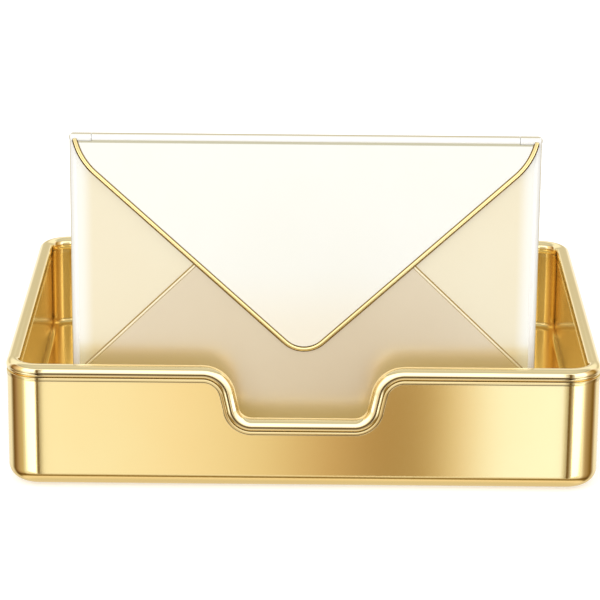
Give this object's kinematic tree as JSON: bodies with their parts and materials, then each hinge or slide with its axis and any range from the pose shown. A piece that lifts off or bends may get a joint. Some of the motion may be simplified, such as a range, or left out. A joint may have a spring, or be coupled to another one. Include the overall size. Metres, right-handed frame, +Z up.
{
  "type": "desk letter tray",
  "caption": "Rectangular gold metal desk letter tray with a rolled rim and a finger notch, holding an upright metal envelope with a hinged flap.",
  "frame": {"origin": "middle of the footprint, on the desk under the foot pads", "axes": "+X to the right along the notched front wall, +Y from the front wall to the rear wall, +Z up"},
  "size_m": [0.326, 0.251, 0.1964],
  "materials": {
    "satin_gold": "fine brushed satin, clear lacquer",
    "deep_gold": "polished",
    "polished_gold": "polished",
    "brass_fastener": "polished",
    "pearl_metal": "satin pearl lacquer",
    "cream_metal": "satin pearl lacquer",
    "ivory_edge": "semi-gloss lacquer",
    "champagne_edge": "polished",
    "steel_pin": "ground",
    "plain_steel": "zinc plated",
    "rubber_pad": "matte"
  },
  "bodies": {
    "tray": {"outer_shell": "satin_gold", "inner_liner": "deep_gold", "rim_collar": "satin_gold", "rim_bead": "polished_gold", "floor_post_front_left": "plain_steel", "floor_post_front_right": "plain_steel", "floor_post_rear_left": "plain_steel", "floor_post_rear_right": "plain_steel", "floor_rib_left": "plain_steel", "floor_rib_middle": "plain_steel", "floor_rib_right": "plain_steel", "base_screws": "brass_fastener", "foot_pad_front_left": "rubber_pad", "foot_pad_front_right": "rubber_pad", "foot_pad_rear_left": "rubber_pad", "foot_pad_rear_right": "rubber_pad", "letter_rail": "deep_gold", "rail_rivets": "brass_fastener"},
    "envelope": {"envelope_back": "pearl_metal", "side_strip_left": "ivory_edge", "side_strip_right": "ivory_edge", "side_leaf_left": "pearl_metal", "side_leaf_right": "pearl_metal", "bottom_leaf": "cream_metal", "bottom_leaf_edging": "champagne_edge", "hinge_knuckle_left": "ivory_edge", "hinge_knuckle_right": "ivory_edge", "hinge_pin": "steel_pin"},
    "flap": {"flap_leaf": "pearl_metal", "flap_barrel": "ivory_edge", "flap_edging": "champagne_edge"}
  },
  "joints": [
    {"name": "envelope_lift", "type": "slide", "parent": "tray", "child": "envelope", "axis": [0, 0, 1], "range_m": [0, 0.06]},
    {"name": "flap_hinge", "type": "hinge", "parent": "envelope", "child": "flap", "pos_m": [0, -0.1042, 0.1939], "axis": [-1, 0, 0], "range_deg": [0, 170]}
  ]
}
